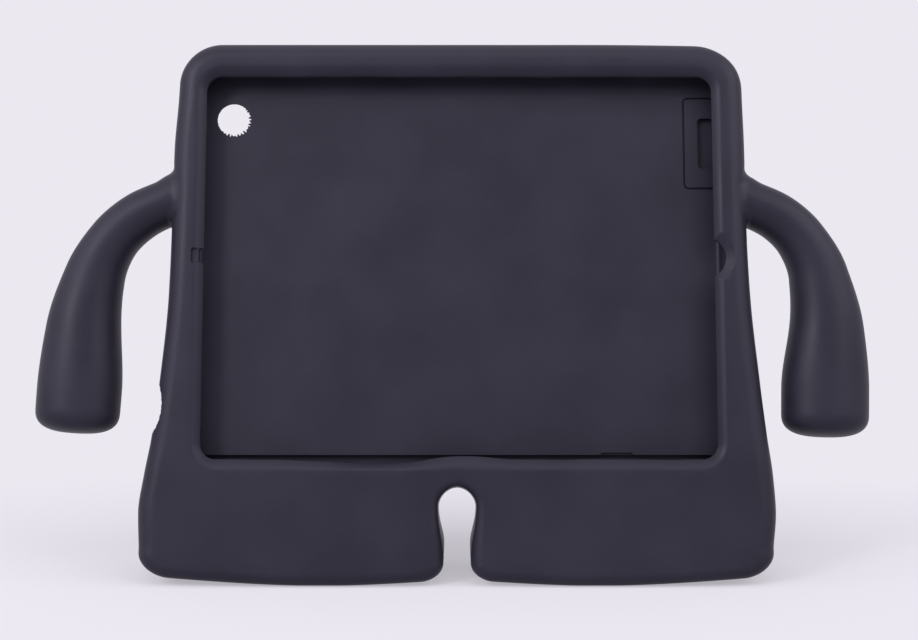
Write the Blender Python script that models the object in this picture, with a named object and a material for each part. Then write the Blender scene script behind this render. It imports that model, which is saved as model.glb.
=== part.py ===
"""Foam tablet case that stands on two feet, with two short arms at its sides.

One moulded piece. It is drawn in the plane of its own face: x to the
right, v up the face, w into the case. A last step leans it back and
stands it on the ground.
"""
import math

import bmesh
import bpy
import numpy as np
from mathutils.geometry import delaunay_2d_cdt

MM = 0.001

# Pose of the case on the table
LEAN_DEG = 12.0
SOLE_BLEND = 40.0

# Tablet the case is made for, with its clearance in the case
TABLET_WIDE = 241.2
TABLET_TALL = 185.7
TABLET_DEEP = 9.4
TABLET_CORNER = 9.0
TABLET_CLEAR = 0.3
TABLET_BASE = 52.5

# Lip that holds the tablet in, and the rim outside it
LIP_SIDE = 4.3
LIP_END = 4.85
LIP_THICK = 4.8
LIP_DROP = 2.0
LIP_HUMP = 1.75
LIP_HUMP_WIDE = 16.0
LIP_DIP = 2.2
LIP_DIP_X = -38.0
LIP_DIP_WIDE = 26.0
WINDOW_CORNER = 7.0
RIM_SLOPE = 3.4
RIM_SLOPE_UP = 4.6

# Tablet space, window and body that follow from them
SPACE_X = TABLET_WIDE / 2.0 + TABLET_CLEAR
SPACE_V = TABLET_TALL / 2.0 + TABLET_CLEAR
WINDOW_X = SPACE_X - LIP_SIDE
WINDOW_V = SPACE_V - LIP_END
MIDDLE_V = TABLET_BASE + SPACE_V
ROOF_V = MIDDLE_V + SPACE_V
FLOOR_W = LIP_THICK + TABLET_DEEP + TABLET_CLEAR

# Walls outside the tablet space: (height, wall) up each side, and the top wall
WALL_TOP = 11.8
WALL_RIGHT = ((17.0, 20.4), (34.0, 21.9), (50.0, 21.0), (68.0, 18.7), (92.0, 16.1),
              (134.0, 12.5), (172.0, 11.4), (200.0, 11.3), (228.0, 10.7))
WALL_LEFT = ((17.0, 23.0), (34.0, 23.7), (50.0, 21.6), (68.0, 18.4), (92.0, 15.5),
             (134.0, 12.1), (172.0, 11.3), (200.0, 11.0), (224.0, 9.5))
SHOULDER_RIGHT = 10.5
SHOULDER_LEFT = 8.4
BODY_TOP = ROOF_V + WALL_TOP
TOP_CORNER_LEFT = 20.0
TOP_CORNER_RIGHT = 22.0
TOP_SAG = 0.9
TOP_SAG_WIDE = 64.0
FOOT_CORNER = 15.0
FOOT_CORNER_WIDE = 14.0
FOOT_MIDDLE = 62.0
FOOT_FLAT = 8.0
SOLE_BOW = 1.8
SOLE_BOW_WIDE = 40.0

# Slot between the feet: a slightly pointed crown, a neck and round inner corners
SLOT_X = -0.9
SLOT_RADIUS = 8.7
SLOT_POINT = 1.85
SLOT_ROUND_V = 36.5
SLOT_NECK = 6.1
SLOT_NECK_V = 11.5
SLOT_CORNER = 9.0
SLOT_CORNER_WIDE = 10.0

# Depth of the body behind the face plane, from the soles to the top
DEPTH_TABLE = ((0.0, 56.0), (12.0, 55.5), (24.0, 52.0), (38.0, 44.5), (54.0, 37.5),
               (77.0, 32.5), (107.0, 29.8), (152.0, 28.0), (260.0, 27.0))

# Rounded edges
FRONT_ROUND = 8.6
FRONT_SQUARE = 1.6
BACK_ROUND = 8.5
SLOT_ROUND = 6.5
CROWN_ROUND = 3.5
SOLE_ROUND = 6.5
ROUND_FADE = 18.0

# Arms, measured outwards from the tablet space and down from the shoulder:
# out, down, half width, half depth, depth of the centre
SHOULDER_V = MIDDLE_V + 34.7
ARM_RIGHT = ((3.7, 1.0, 14.5, 12.0, 14.6), (10.4, 2.6, 12.2, 12.0, 14.6),
             (16.0, 4.7, 10.8, 12.0, 14.6), (27.0, 10.1, 11.1, 12.2, 14.9),
             (37.8, 20.4, 11.6, 13.0, 15.4), (45.8, 37.4, 13.5, 14.0, 16.2),
             (49.1, 62.4, 17.0, 15.6, 17.2), (47.9, 90.2, 19.9, 16.8, 17.8),
             (47.2, 112.4, 19.8, 16.8, 17.8))
ARM_LEFT = ((3.7, 0.6, 14.8, 12.0, 14.6), (10.4, 1.9, 12.4, 12.0, 14.6),
            (16.0, 4.1, 10.9, 12.0, 14.6), (27.3, 9.6, 11.3, 12.2, 14.9),
            (39.4, 20.6, 11.8, 13.0, 15.4), (48.0, 37.4, 13.8, 14.0, 16.2),
            (52.8, 62.2, 17.1, 15.6, 17.2), (54.1, 90.2, 19.2, 16.8, 17.8),
            (55.1, 110.6, 19.0, 16.6, 17.8))
ARM_SQUARE = 2.35
HAND_SQUARE = 2.8
HAND_ROUND = 11.0

# Openings and recesses, measured from the tablet space
PORT_W = LIP_THICK + TABLET_DEEP / 2.0 + TABLET_CLEAR
CAMERA_HOLE = 15.2
CAMERA_IN = 15.3
CAMERA_DOWN = 22.3
CAMERA_FLARE = 5.0
SPEAKER_IN = 8.6
SPEAKER_DOWN = 33.6
SPEAKER_WIDE = 13.4
SPEAKER_TALL = 42.0
PAD_CORNER = 1.6
GROOVE_WIDE = 1.0
GROOVE_DEEP = 1.2
SOUND_IN = 5.6
SOUND_TALL = 24.0
SOUND_WIDE = 7.4
SOUND_DEEP = 2.6
SLIT_IN = 48.9
SLIT_UP = 7.6
SLIT_LONG = 14.5
SLIT_TALL = 1.3
CHANNEL_TOP = 7.2
CHANNEL_DEEP = 3.6
HOME_UP = 3.5
HOME_RADIUS = 9.6
HOME_BITE = 5.2
HOME_BEVEL = 4.0
SENSOR_UP = 7.0
SENSOR_TALL = 7.4
SENSOR_BITE = 5.4
SENSOR_CORNER = 2.6
PHONES_UP = 29.5
PHONES_DEEP = 9.2
PHONES_TALL = 18.0
PHONES_CORNER = 4.0
PHONES_SCOOP_TALL = 30.0
PHONES_SCOOP_DEEP = 3.4
CHARGE_TALL = 27.0
CHARGE_DEEP = 7.6
CHARGE_CORNER = 2.8
VOLUME_IN = 42.9
VOLUME_LONG = 35.0
VOLUME_DEEP = 5.0
BUTTON_WIDE = 4.8
BUTTON_CORNER = 2.0
POWER_DOWN = 17.6
POWER_LONG = 14.0
POWER_DEEP = 4.0
CUT_PAST = 3.0

# Fineness of the mesh
SIDE_STEPS = 24
TOP_STEPS = 15
SOLE_STEPS = 11
ARM_AROUND = 28
ARM_RINGS = 22
HAND_RINGS = 7
BACK_GRID = 14.0
FLOOR_GRID = 40.0


def clear_scene():
    for item in list(bpy.data.objects):
        bpy.data.objects.remove(item, do_unlink=True)
    for mesh in list(bpy.data.meshes):
        bpy.data.meshes.remove(mesh)
    for material in list(bpy.data.materials):
        bpy.data.materials.remove(material)


def smooth_table(table, where):
    """Cubic curve through a table, without overshoot between its rows."""
    rows = np.asarray(table, float)
    xs, ys = rows[:, 0], rows[:, 1]
    slope = np.diff(ys) / np.diff(xs)
    tangent = np.zeros(len(xs))
    for i in range(1, len(xs) - 1):
        if slope[i - 1] * slope[i] > 0.0:
            tangent[i] = 2.0 / (1.0 / slope[i - 1] + 1.0 / slope[i])
    tangent[0], tangent[-1] = slope[0], slope[-1]
    at = np.clip(np.asarray(where, float), xs[0], xs[-1])
    k = np.clip(np.searchsorted(xs, at, side="right") - 1, 0, len(xs) - 2)
    step = xs[k + 1] - xs[k]
    t = (at - xs[k]) / step
    first = (2 * t ** 3 - 3 * t ** 2 + 1) * ys[k] + (t ** 3 - 2 * t ** 2 + t) * step * tangent[k]
    last = (3 * t ** 2 - 2 * t ** 3) * ys[k + 1] + (t ** 3 - t ** 2) * step * tangent[k + 1]
    return first + last


def arc(cx, cv, radius, start, end, count):
    angles = np.radians(np.linspace(start, end, count))
    return [(cx + radius * math.cos(a), cv + radius * math.sin(a)) for a in angles]


def side_x(walls, shoulder, v):
    """Half width of the body at a height: the tablet space and its wall."""
    table = walls + ((BODY_TOP, shoulder),)
    return SPACE_X + smooth_table(table, v)


def side_points(sign):
    """Side of the body from the foot corner up to the top corner."""
    right = (WALL_RIGHT, SHOULDER_RIGHT, TOP_CORNER_RIGHT)
    walls, shoulder, corner = right if sign > 0 else (WALL_LEFT, SHOULDER_LEFT, TOP_CORNER_LEFT)
    share = np.linspace(0.0, 1.0, SIDE_STEPS + 1) ** 1.25
    heights = FOOT_CORNER + (BODY_TOP - corner - FOOT_CORNER) * share
    return [(sign * float(side_x(walls, shoulder, v)), float(v)) for v in heights]


def bend(cx, cv, wide, tall, start, end, count):
    """Quarter of an ellipse, for the soft corners of the feet."""
    angles = np.radians(np.linspace(start, end, count))
    return [(cx + wide * math.cos(a), cv + tall * math.sin(a)) for a in angles]


def slot_half():
    """Right half of the slot, from the inner foot corner up to its crown."""
    corner = bend(SLOT_NECK + SLOT_CORNER_WIDE, SLOT_CORNER, SLOT_CORNER_WIDE, SLOT_CORNER,
                  270.0, 180.0, 8)
    neck = []
    for t in (0.0, 0.2, 0.4, 0.6, 0.8):
        ease = t * t * (3.0 - 2.0 * t)
        neck.append((SLOT_NECK + (SLOT_RADIUS - SLOT_NECK) * ease,
                     SLOT_NECK_V + (SLOT_ROUND_V - SLOT_NECK_V) * t))
    crown = []
    for a in np.radians(np.linspace(0.0, 90.0, 8)):
        crown.append((SLOT_RADIUS * math.cos(a) ** (2.0 / SLOT_POINT),
                      SLOT_ROUND_V + SLOT_RADIUS * math.sin(a) ** (2.0 / SLOT_POINT)))
    return corner + neck + crown


def foot_points(sign, half, side):
    """Sole and outer foot corner, from the slot out to the side of the body."""
    foot_x = sign * side[0][0] - FOOT_CORNER_WIDE
    start = half[0][0] + sign * SLOT_X
    sole = [(float(x), 0.0) for x in np.linspace(start, foot_x, SOLE_STEPS + 1)[1:]]
    corner = bend(foot_x, FOOT_CORNER, FOOT_CORNER_WIDE, FOOT_CORNER, 270.0, 360.0, 9)[1:-1]
    return [(sign * x, v) for x, v in sole + corner]


def outline_points():
    """Closed outline of the body, counter-clockwise seen from the front."""
    half = slot_half()
    slot_r = [(SLOT_X + x, v) for x, v in half]
    slot_l = [(SLOT_X - x, v) for x, v in half]
    right, left = side_points(1), side_points(-1)
    top_r = arc(right[-1][0] - TOP_CORNER_RIGHT, BODY_TOP - TOP_CORNER_RIGHT,
                TOP_CORNER_RIGHT, 0.0, 90.0, 9)[1:]
    top_l = arc(left[-1][0] + TOP_CORNER_LEFT, BODY_TOP - TOP_CORNER_LEFT,
                TOP_CORNER_LEFT, 90.0, 180.0, 9)[:-1]
    span = np.linspace(top_r[-1][0], top_l[0][0], TOP_STEPS + 1)[1:-1]
    top = [(float(x), BODY_TOP) for x in span]
    points = slot_r[::-1] + foot_points(1, half, right) + right + top_r + top + top_l
    points += left[::-1] + foot_points(-1, half, left)[::-1] + slot_l[:-1]
    return np.array([(x, v - top_sag(x, v) + sole_bow(x, v)) for x, v in points])


def sole_bow(x, v):
    """Each sole is flat in the middle and bows up a little towards its ends."""
    past = max(abs(abs(x) - FOOT_MIDDLE) - FOOT_FLAT, 0.0) / SOLE_BOW_WIDE
    low = max(1.0 - v / FOOT_CORNER, 0.0)
    return SOLE_BOW * past ** 1.5 * low


def top_sag(x, v):
    """The top edge falls gently towards the right-hand corner."""
    along = min(max((x - SPACE_X + TOP_SAG_WIDE) / TOP_SAG_WIDE, 0.0), 1.0)
    high = min(max((v - ROOF_V) / WALL_TOP, 0.0), 1.0)
    return TOP_SAG * along * along * high


def outward(points):
    ahead = np.roll(points, -1, axis=0)
    behind = np.roll(points, 1, axis=0)
    tangent = ahead - behind
    tangent /= np.linalg.norm(tangent, axis=1)[:, None]
    return np.stack((tangent[:, 1], -tangent[:, 0]), axis=1)


def edge_round(points, base):
    """Edge rounding for each outline point: small at the slot and the soles."""
    x, v = np.abs(points[:, 0] - SLOT_X), points[:, 1]
    sole = SOLE_ROUND + (base - SOLE_ROUND) * np.clip(v / ROUND_FADE, 0.0, 1.0)
    out = np.clip((x - SLOT_NECK - SLOT_CORNER_WIDE) / ROUND_FADE, 0.0, 1.0)
    crown = np.clip((v - SLOT_NECK_V) / (SLOT_ROUND_V - SLOT_NECK_V), 0.0, 1.0)
    side = SLOT_ROUND + (CROWN_ROUND - SLOT_ROUND) * crown
    slot = side + (sole - side) * out
    return np.where(v < SLOT_ROUND_V + SLOT_RADIUS + TABLET_CLEAR, slot, sole)


def depth_at(v):
    return smooth_table(DEPTH_TABLE, np.maximum(v, 0.0))


def body_rings(outline):
    """Rings from the flat of the face round the side to the flat of the back."""
    normal = outward(outline)
    front = edge_round(outline, FRONT_ROUND)
    back = edge_round(outline, BACK_ROUND)
    rings = []
    power = 2.0 / FRONT_SQUARE
    for a in np.radians((0.0, 22.5, 45.0, 67.5, 90.0)):
        flat = outline - normal * (front * (1.0 - math.sin(a) ** power))[:, None]
        rings.append(np.column_stack((flat, front * (1.0 - max(math.cos(a), 0.0) ** power))))
    first = rings[-1]
    rear = depth_at(outline[:, 1])
    for share in (0.34, 0.67):
        w = first[:, 2] + (rear - back - first[:, 2]) * share
        rings.append(np.column_stack((outline, w)))
    for a in np.radians((90.0, 60.0, 30.0, 0.0)):
        flat = outline - normal * (back * (1.0 - math.sin(a)))[:, None]
        w = depth_at(flat[:, 1]) - back * (1.0 - math.cos(a))
        rings.append(np.column_stack((flat, w)))
    return rings


def rounded_box(half_x, half_v, radius, along_x=22, along_v=14, corner=6):
    """Closed rounded rectangle round the middle of the tablet, counter-clockwise."""
    parts = [arc(sx * (half_x - radius), sv * (half_v - radius), radius,
                 start, start + 90.0, corner + 1)
             for sx, sv, start in ((1, 1, 0.0), (-1, 1, 90.0), (-1, -1, 180.0), (1, -1, 270.0))]
    points = []
    for k, part in enumerate(parts):
        points += part
        (ax, av), (bx, bv) = part[-1], parts[(k + 1) % 4][0]
        steps = along_x if k % 2 == 0 else along_v
        for t in np.linspace(0.0, 1.0, steps + 1)[1:-1]:
            points.append((ax + (bx - ax) * t, av + (bv - av) * t))
    out = np.array(points)
    out[:, 1] += MIDDLE_V
    return out


def lip_hump(ring, share):
    """The lower lip rises in a low wave above the slot and dips to the left of it."""
    low = ring[:, 1] < TABLET_BASE + LIP_END + WINDOW_CORNER
    x = ring[:, 0]
    rise = LIP_HUMP * np.exp(-((x - SLOT_X) / LIP_HUMP_WIDE) ** 2)
    rise -= LIP_DIP * np.exp(-((x - LIP_DIP_X) / LIP_DIP_WIDE) ** 2)
    ring[:, 1] += np.where(low, rise * share, 0.0)
    return ring


def window_rings():
    """Rings from the crest of the rim, over the lip, down to the floor."""
    shape = ((RIM_SLOPE, 0.0, 0.0), (RIM_SLOPE * 0.6, LIP_DROP * 0.17, 0.3),
             (RIM_SLOPE * 0.25, LIP_DROP * 0.4, 0.7), (RIM_SLOPE * 0.1, LIP_DROP * 0.7, 0.95),
             (0.0, LIP_DROP * 1.25, 1.0), (0.0, LIP_THICK * 0.75, 1.0),
             (LIP_SIDE * 0.16, LIP_THICK * 0.96, 0.9))
    rings = []
    for grow, w, share in shape:
        ring = rounded_box(WINDOW_X + grow, WINDOW_V + grow * RIM_SLOPE_UP / RIM_SLOPE,
                           WINDOW_CORNER + grow * 0.6)
        ring = lip_hump(ring, share)
        rings.append(np.column_stack((ring, np.full(len(ring), w))))
    for w in (LIP_THICK, FLOOR_W):
        ring = rounded_box(SPACE_X, SPACE_V, TABLET_CORNER)
        rings.append(np.column_stack((ring, np.full(len(ring), w))))
    return rings


def inside(points, loop):
    """Which of the points lie inside a closed loop."""
    x, y = points[:, 0][:, None], points[:, 1][:, None]
    ax, ay = loop[:, 0][None, :], loop[:, 1][None, :]
    bx, by = np.roll(loop[:, 0], -1)[None, :], np.roll(loop[:, 1], -1)[None, :]
    cross = (ay > y) != (by > y)
    rise = np.where(by == ay, 1.0, by - ay)
    at = ax + (y - ay) * (bx - ax) / rise
    return (np.sum(cross & (x < at), axis=1) % 2) == 1


def grid_inside(loop, step, margin):
    """Points of a square grid that stay clear of the loop."""
    low, high = loop.min(axis=0), loop.max(axis=0)
    xs = np.arange(low[0] + step * 0.5, high[0], step)
    vs = np.arange(low[1] + step * 0.5, high[1], step)
    grid = np.array([(x, v) for v in vs for x in xs])
    grid = grid[inside(grid, loop)]
    gap = np.linalg.norm(grid[:, None, :] - loop[None, :, :], axis=2).min(axis=1)
    return grid[gap > margin]


def fill_region(loops, extra):
    """Triangles that fill the first loop and leave the others open."""
    points = [p for loop in loops for p in loop]
    edges = []
    start = 0
    for loop in loops:
        count = len(loop)
        edges += [(start + i, start + (i + 1) % count) for i in range(count)]
        start += count
    points += list(extra)
    flat = [(float(p[0]), float(p[1])) for p in points]
    verts, _, faces, origin, _, _ = delaunay_2d_cdt(flat, edges, [], 0, 1e-6)
    where = np.array([(v[0], v[1]) for v in verts])
    centres = np.array([where[list(face)].mean(axis=0) for face in faces])
    keep = inside(centres, np.asarray(loops[0]))
    for loop in loops[1:]:
        keep &= ~inside(centres, np.asarray(loop))
    index = [o[0] for o in origin]
    return [tuple(index[i] for i in face) for face, good in zip(faces, keep) if good]


def add_ring(bm, ring):
    return [bm.verts.new((p[0], p[2], p[1])) for p in ring]


def bridge(bm, first, second):
    count = len(first)
    for i in range(count):
        j = (i + 1) % count
        bm.faces.new((first[i], first[j], second[j], second[i]))


def build_body():
    """Body with its window, cavity and the slot between the feet."""
    outline = outline_points()
    sides = body_rings(outline)
    hollow = window_rings()
    bm = bmesh.new()
    side_verts = [add_ring(bm, ring) for ring in sides]
    for a, b in zip(side_verts[:-1], side_verts[1:]):
        bridge(bm, a, b)
    hollow_verts = [add_ring(bm, ring) for ring in hollow]
    for a, b in zip(hollow_verts[:-1], hollow_verts[1:]):
        bridge(bm, b, a)
    face_loops = [sides[0][:, :2], hollow[0][:, :2]]
    verts = side_verts[0] + hollow_verts[0]
    for tri in fill_region(face_loops, []):
        bm.faces.new([verts[i] for i in tri])
    floor = grid_inside(hollow[-1][:, :2], FLOOR_GRID, FLOOR_GRID * 0.4)
    verts = hollow_verts[-1] + add_ring(bm, np.column_stack((floor, np.full(len(floor), FLOOR_W))))
    for tri in fill_region([hollow[-1][:, :2]], floor):
        bm.faces.new([verts[i] for i in tri])
    rear = grid_inside(sides[-1][:, :2], BACK_GRID, BACK_GRID * 0.4)
    verts = side_verts[-1] + add_ring(bm, np.column_stack((rear, depth_at(rear[:, 1]))))
    for tri in fill_region([sides[-1][:, :2]], rear):
        bm.faces.new([verts[i] for i in tri])
    bmesh.ops.recalc_face_normals(bm, faces=bm.faces[:])
    return mesh_object("case_body", bm)


def mesh_object(name, bm):
    mesh = bpy.data.meshes.new(name)
    bm.to_mesh(mesh)
    bm.free()
    item = bpy.data.objects.new(name, mesh)
    bpy.context.scene.collection.objects.link(item)
    return item


def arm_path(rows):
    """Smooth path through an arm table, closed in by a rounded hand."""
    table = np.asarray(rows, float)
    chord = np.linalg.norm(np.diff(table[:, :2], axis=0), axis=1)
    reach = np.concatenate(((0.0,), np.cumsum(chord)))
    bend = np.linspace(0.0, math.pi / 2.0, HAND_RINGS)
    to_end = np.concatenate((np.linspace(reach[-1], HAND_ROUND, ARM_RINGS)[:-1],
                             HAND_ROUND * (1.0 - np.sin(bend))))
    along = reach[-1] - to_end
    path = np.column_stack([smooth_table(np.column_stack((reach, table[:, c])), along)
                            for c in range(table.shape[1])])
    close = np.clip(1.0 - to_end / HAND_ROUND, 0.0, 0.998)
    path[:, 2:4] *= ((1.0 - close ** HAND_SQUARE) ** (1.0 / HAND_SQUARE))[:, None]
    path[:, 0] += SPACE_X
    path[:, 1] = SHOULDER_V - path[:, 1]
    return path, along


def build_arm(name, rows, sign):
    """Arm swept along its centre line, with soft square sections."""
    path, along = arm_path(rows)
    tangent = np.gradient(path[:, :2], along, axis=0)
    tangent /= np.linalg.norm(tangent, axis=1)[:, None]
    across = np.stack((-tangent[:, 1], tangent[:, 0]), axis=1)
    angle = np.linspace(0.0, 2.0 * math.pi, ARM_AROUND, endpoint=False)
    power = 2.0 / ARM_SQUARE
    cos_a = np.sign(np.cos(angle)) * np.abs(np.cos(angle)) ** power
    sin_a = np.sign(np.sin(angle)) * np.abs(np.sin(angle)) ** power
    bm = bmesh.new()
    rings = []
    for row, side in zip(path, across):
        x = sign * (row[0] + side[0] * row[2] * cos_a)
        v = row[1] + side[1] * row[2] * cos_a
        w = row[4] + row[3] * sin_a
        rings.append(add_ring(bm, np.column_stack((x, v, w))))
    for a, b in zip(rings[:-1], rings[1:]):
        bridge(bm, a, b)
    cap_ring(bm, rings[0])
    cap_ring(bm, rings[-1])
    bmesh.ops.recalc_face_normals(bm, faces=bm.faces[:])
    return mesh_object(name, bm)


def cap_ring(bm, ring):
    centre = sum((v.co for v in ring), ring[0].co * 0.0) / len(ring)
    middle = bm.verts.new(centre)
    for i, vert in enumerate(ring):
        bm.faces.new((vert, ring[(i + 1) % len(ring)], middle))


def loft(name, loops, axis, levels):
    """Closed solid through loops in two coordinates, one at each level of the third."""
    order = {"w": (0, 2, 1), "x": (2, 0, 1), "v": (0, 1, 2)}[axis]
    bm = bmesh.new()
    rings = []
    for loop, level in zip(loops, levels):
        flat = [(p[0], p[1], level) for p in loop]
        rings.append([bm.verts.new((c[order[0]], c[order[1]], c[order[2]])) for c in flat])
    for a, b in zip(rings[:-1], rings[1:]):
        bridge(bm, a, b)
    cap_ring(bm, rings[0])
    cap_ring(bm, rings[-1])
    bmesh.ops.recalc_face_normals(bm, faces=bm.faces[:])
    return mesh_object(name, bm)


def prism(name, loop, axis, start, end):
    return loft(name, (loop, loop), axis, (start, end))


def soft_box(cx, cy, half_x, half_y, radius):
    loop = []
    for sx, sy, start in ((1, 1, 0.0), (-1, 1, 90.0), (-1, -1, 180.0), (1, -1, 270.0)):
        loop += arc(cx + sx * (half_x - radius), cy + sy * (half_y - radius), radius,
                    start, start + 90.0, 5)
    return loop


def ellipsoid(name, centre, size):
    bm = bmesh.new()
    bmesh.ops.create_uvsphere(bm, u_segments=20, v_segments=12, radius=1.0)
    for vert in bm.verts:
        vert.co.x = centre[0] + vert.co.x * size[0]
        vert.co.y = centre[2] + vert.co.y * size[2]
        vert.co.z = centre[1] + vert.co.z * size[1]
    return mesh_object(name, bm)


def circle(cx, cy, radius, count):
    return arc(cx, cy, radius, 0.0, 360.0, count + 1)[:-1]


def floor_cutters():
    """Camera hole, groove round the speaker pad, small slit and the channel along the bottom."""
    camera = (CAMERA_IN - SPACE_X, ROOF_V - CAMERA_DOWN)
    speaker = (SPACE_X - SPEAKER_IN, ROOF_V - SPEAKER_DOWN)
    half_x, half_v = SPEAKER_WIDE / 2.0, SPEAKER_TALL / 2.0
    back = float(depth_at(camera[1]))
    radius = CAMERA_HOLE / 2.0
    slope = CAMERA_FLARE / (back - FLOOR_W)
    wide = radius + CAMERA_FLARE + CUT_PAST * slope
    above = FLOOR_W - CUT_PAST
    return [
        loft("cut_camera", (circle(*camera, radius, 32), circle(*camera, radius, 32),
                            circle(*camera, wide, 32)),
             "w", (above, FLOOR_W, back + CUT_PAST)),
        prism("cut_groove", soft_box(*speaker, half_x + GROOVE_WIDE, half_v + GROOVE_WIDE,
                                           PAD_CORNER + GROOVE_WIDE),
              "w", above, FLOOR_W + GROOVE_DEEP),
        prism("cut_slit", soft_box(SPACE_X - SLIT_IN, TABLET_BASE + SLIT_UP, SLIT_LONG / 2.0,
                                   SLIT_TALL / 2.0, SLIT_TALL / 2.2),
              "w", above, FLOOR_W + GROOVE_DEEP),
        prism("cut_channel", soft_box(0.0, TABLET_BASE + (CHANNEL_TOP + TABLET_CLEAR) / 2.0, WINDOW_X,
                                      (CHANNEL_TOP - TABLET_CLEAR) / 2.0, BUTTON_CORNER),
              "w", above, FLOOR_W + CHANNEL_DEEP),
    ]


def speaker_pad():
    """Pad inside the groove, flush with the floor, with the sound channel cut from it."""
    speaker = (SPACE_X - SPEAKER_IN, ROOF_V - SPEAKER_DOWN)
    pad = prism("pad_speaker", soft_box(*speaker, SPEAKER_WIDE / 2.0, SPEAKER_TALL / 2.0, PAD_CORNER),
                "w", FLOOR_W, FLOOR_W + GROOVE_DEEP * 2.0)
    channel = prism("cut_sound", soft_box(SPACE_X - SOUND_IN, speaker[1], SOUND_WIDE / 2.0,
                                          SOUND_TALL / 2.0, BUTTON_CORNER),
                    "w", FLOOR_W - CUT_PAST, FLOOR_W + SOUND_DEEP)
    return pad, channel


def lip_cutters():
    """Notches in the lip for the home button, with its bevel, and for the front camera."""
    home = (WINDOW_X + HOME_BITE - HOME_RADIUS, MIDDLE_V + HOME_UP)
    wide = circle(*home, HOME_RADIUS + HOME_BEVEL, 32)
    hole = circle(*home, HOME_RADIUS, 32)
    sensor_half = SENSOR_BITE / 2.0 + CUT_PAST
    sensor_x = -WINDOW_X - SENSOR_BITE + sensor_half
    below = LIP_THICK + TABLET_CLEAR * 2.0
    return [
        loft("cut_home", (wide, wide, hole, hole), "w", (-CUT_PAST, 0.0, LIP_THICK - LIP_DROP, below)),
        prism("cut_sensor", soft_box(sensor_x, MIDDLE_V + SENSOR_UP, sensor_half,
                                     SENSOR_TALL / 2.0, SENSOR_CORNER),
              "w", -CUT_PAST, below),
    ]


def port_cutters():
    """Openings and recesses in the walls, level with the tablet's edge."""
    phones_v = TABLET_BASE + PHONES_UP
    outside = SPACE_X + WALL_LEFT[0][1]
    side = float(side_x(WALL_LEFT, SHOULDER_LEFT, phones_v))
    scoop = PHONES_SCOOP_TALL / 2.0
    return [
        prism("cut_phones", soft_box(PORT_W, phones_v, PHONES_DEEP / 2.0, PHONES_TALL / 2.0, PHONES_CORNER),
              "x", CUT_PAST - SPACE_X, -outside),
        ellipsoid("cut_scoop", (-side - scoop / 2.0 + PHONES_SCOOP_DEEP / 2.0, phones_v, PORT_W),
                  (scoop / 2.0 + PHONES_SCOOP_DEEP / 2.0, scoop, DEPTH_TABLE[0][1] * 2.0)),
        prism("cut_charge", soft_box(PORT_W, MIDDLE_V, CHARGE_DEEP / 2.0, CHARGE_TALL / 2.0, CHARGE_CORNER),
              "x", SPACE_X - CUT_PAST, outside),
        prism("cut_volume", soft_box(VOLUME_IN - SPACE_X, PORT_W, VOLUME_LONG / 2.0,
                                     BUTTON_WIDE / 2.0, BUTTON_CORNER),
              "v", ROOF_V - CUT_PAST, ROOF_V + VOLUME_DEEP),
        prism("cut_power", soft_box(PORT_W, ROOF_V - POWER_DOWN, BUTTON_WIDE / 2.0,
                                    POWER_LONG / 2.0, BUTTON_CORNER),
              "x", CUT_PAST - SPACE_X, -SPACE_X - POWER_DEEP),
    ]


def add_boolean(body, other, kind):
    step = body.modifiers.new(other.name, "BOOLEAN")
    step.operation = kind
    step.solver = "EXACT"
    step.object = other
    other.hide_render = True
    other.display_type = "WIRE"


def settle(body, helpers):
    """Turn the live steps into plain geometry and drop the helpers."""
    graph = bpy.context.evaluated_depsgraph_get()
    done = bpy.data.meshes.new_from_object(body.evaluated_get(graph))
    old = body.data
    body.modifiers.clear()
    body.data = done
    bpy.data.meshes.remove(old)
    for item in helpers:
        mesh = item.data
        bpy.data.objects.remove(item, do_unlink=True)
        bpy.data.meshes.remove(mesh)


def stand_up(body):
    """Lean the case back, keep its soles level and put them on the ground."""
    mesh = body.data
    count = len(mesh.vertices)
    co = np.empty(count * 3)
    mesh.vertices.foreach_get("co", co)
    co = co.reshape(-1, 3)
    x, w, v = co[:, 0], co[:, 1], co[:, 2]
    t = np.clip(v / SOLE_BLEND, 0.0, 1.0)
    blend = t * t * (3.0 - 2.0 * t)
    lean = math.radians(LEAN_DEG)
    y = v * math.sin(lean) + w * math.cos(lean)
    z = v * math.cos(lean) - w * math.sin(lean) * blend
    out = np.column_stack((x, y, z))
    middle = (out.min(axis=0) + out.max(axis=0)) / 2.0
    out -= (middle[0], middle[1], out[:, 2].min())
    mesh.vertices.foreach_set("co", (out * MM).ravel())
    mesh.update()


def foam_material():
    material = bpy.data.materials.new("foam")
    material.use_nodes = True
    shader = material.node_tree.nodes["Principled BSDF"]
    shader.inputs["Base Color"].default_value = (0.036, 0.034, 0.046, 1.0)
    shader.inputs["Roughness"].default_value = 0.6
    return material


def main():
    clear_scene()
    body = build_body()
    arms = [build_arm("arm_right", ARM_RIGHT, 1), build_arm("arm_left", ARM_LEFT, -1)]
    cutters = floor_cutters() + lip_cutters() + port_cutters()
    for item in cutters:
        add_boolean(body, item, "DIFFERENCE")
    pad, channel = speaker_pad()
    add_boolean(body, pad, "UNION")
    add_boolean(body, channel, "DIFFERENCE")
    for item in arms:
        add_boolean(body, item, "UNION")
    bpy.context.view_layer.update()
    settle(body, arms + cutters + [pad, channel])
    stand_up(body)
    body.data.materials.clear()
    body.data.materials.append(foam_material())


main()
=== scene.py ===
"""Foam tablet case on two feet, seen from the front in a white studio.

Lengths are in millimetres in the plane of the case's own face: x to the
right, v up the face, w into the case. The last step on the moulding turns
them into metres on the table.
"""

import math

import bmesh
import bpy
import numpy as np
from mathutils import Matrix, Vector, kdtree
from mathutils.geometry import delaunay_2d_cdt


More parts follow.
